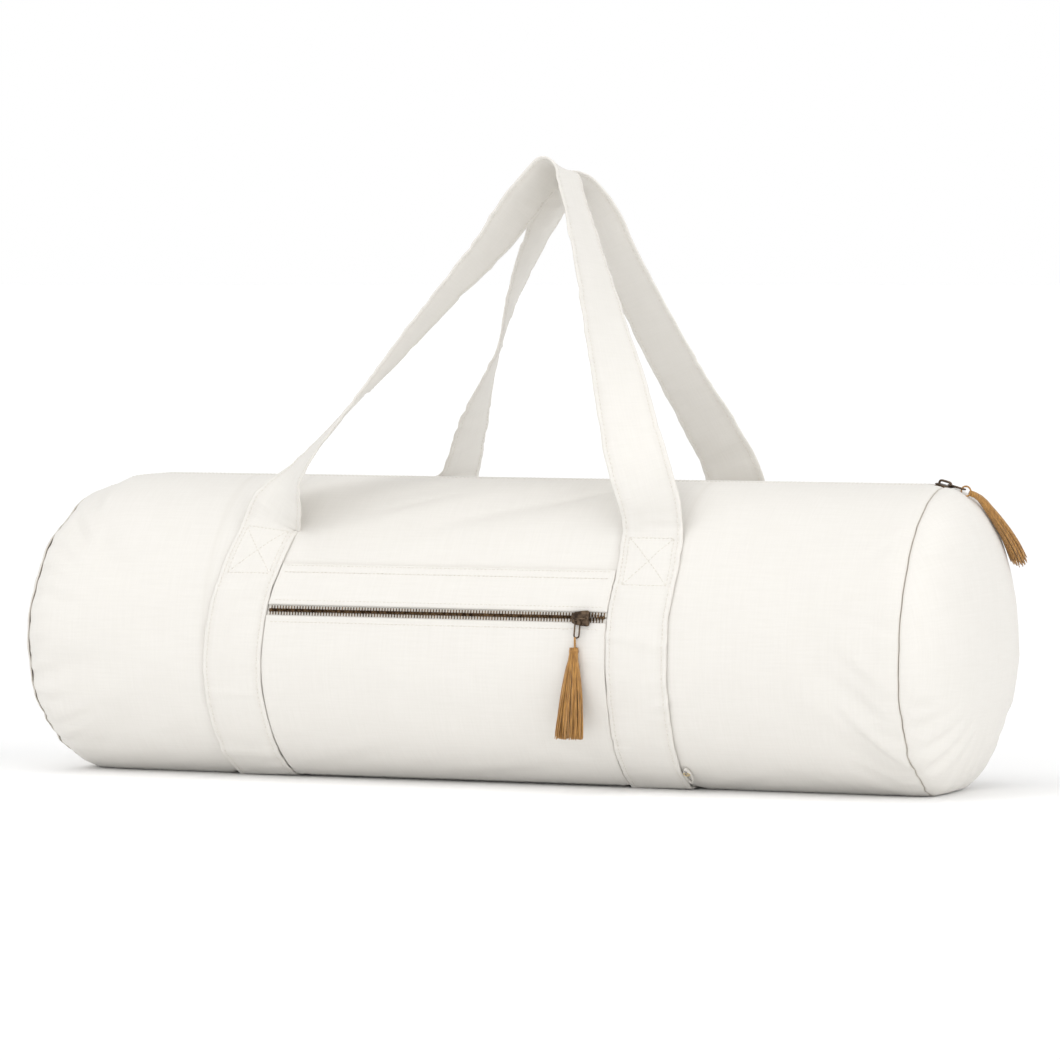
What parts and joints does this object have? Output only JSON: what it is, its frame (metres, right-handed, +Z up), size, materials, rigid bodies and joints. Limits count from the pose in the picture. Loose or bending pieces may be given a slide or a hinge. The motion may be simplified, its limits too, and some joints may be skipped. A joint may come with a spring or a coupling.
{
  "type": "yoga kit bag",
  "caption": "Long round canvas duffel bag with two carrying handles, a zipped front pocket, a top zip and tassel pulls.",
  "frame": {"origin": "middle of the flat strip that the bag rests on, at floor level", "axes": "+Z up, +X along the bag towards the end with the top zip's slider, -Y towards the side with the pocket"},
  "size_m": [0.7973, 0.2511, 0.4865],
  "materials": {
    "canvas": "matte",
    "webbing": "matte",
    "zip_tape": "matte",
    "zip_teeth": "satin",
    "zip_slider": "satin",
    "tassel_thread": "matte"
  },
  "bodies": {
    "root": {"body_wrap": "canvas", "end_panel_left": "canvas", "end_panel_right": "canvas", "strap_front": "webbing", "strap_back": "webbing", "pocket_panel": "canvas", "pocket_band": "canvas", "pocket_tape_lower": "zip_tape", "pocket_tape_upper": "zip_tape", "pocket_teeth": "zip_teeth", "main_tape_front": "zip_tape", "main_tape_back": "zip_tape", "main_teeth": "zip_teeth", "pocket_slider": "zip_slider", "pocket_link": "zip_slider", "pocket_tassel": "tassel_thread", "main_slider": "zip_slider", "main_link": "zip_slider", "main_tassel": "tassel_thread", "side_tab": "canvas"}
  },
  "joints": []
}
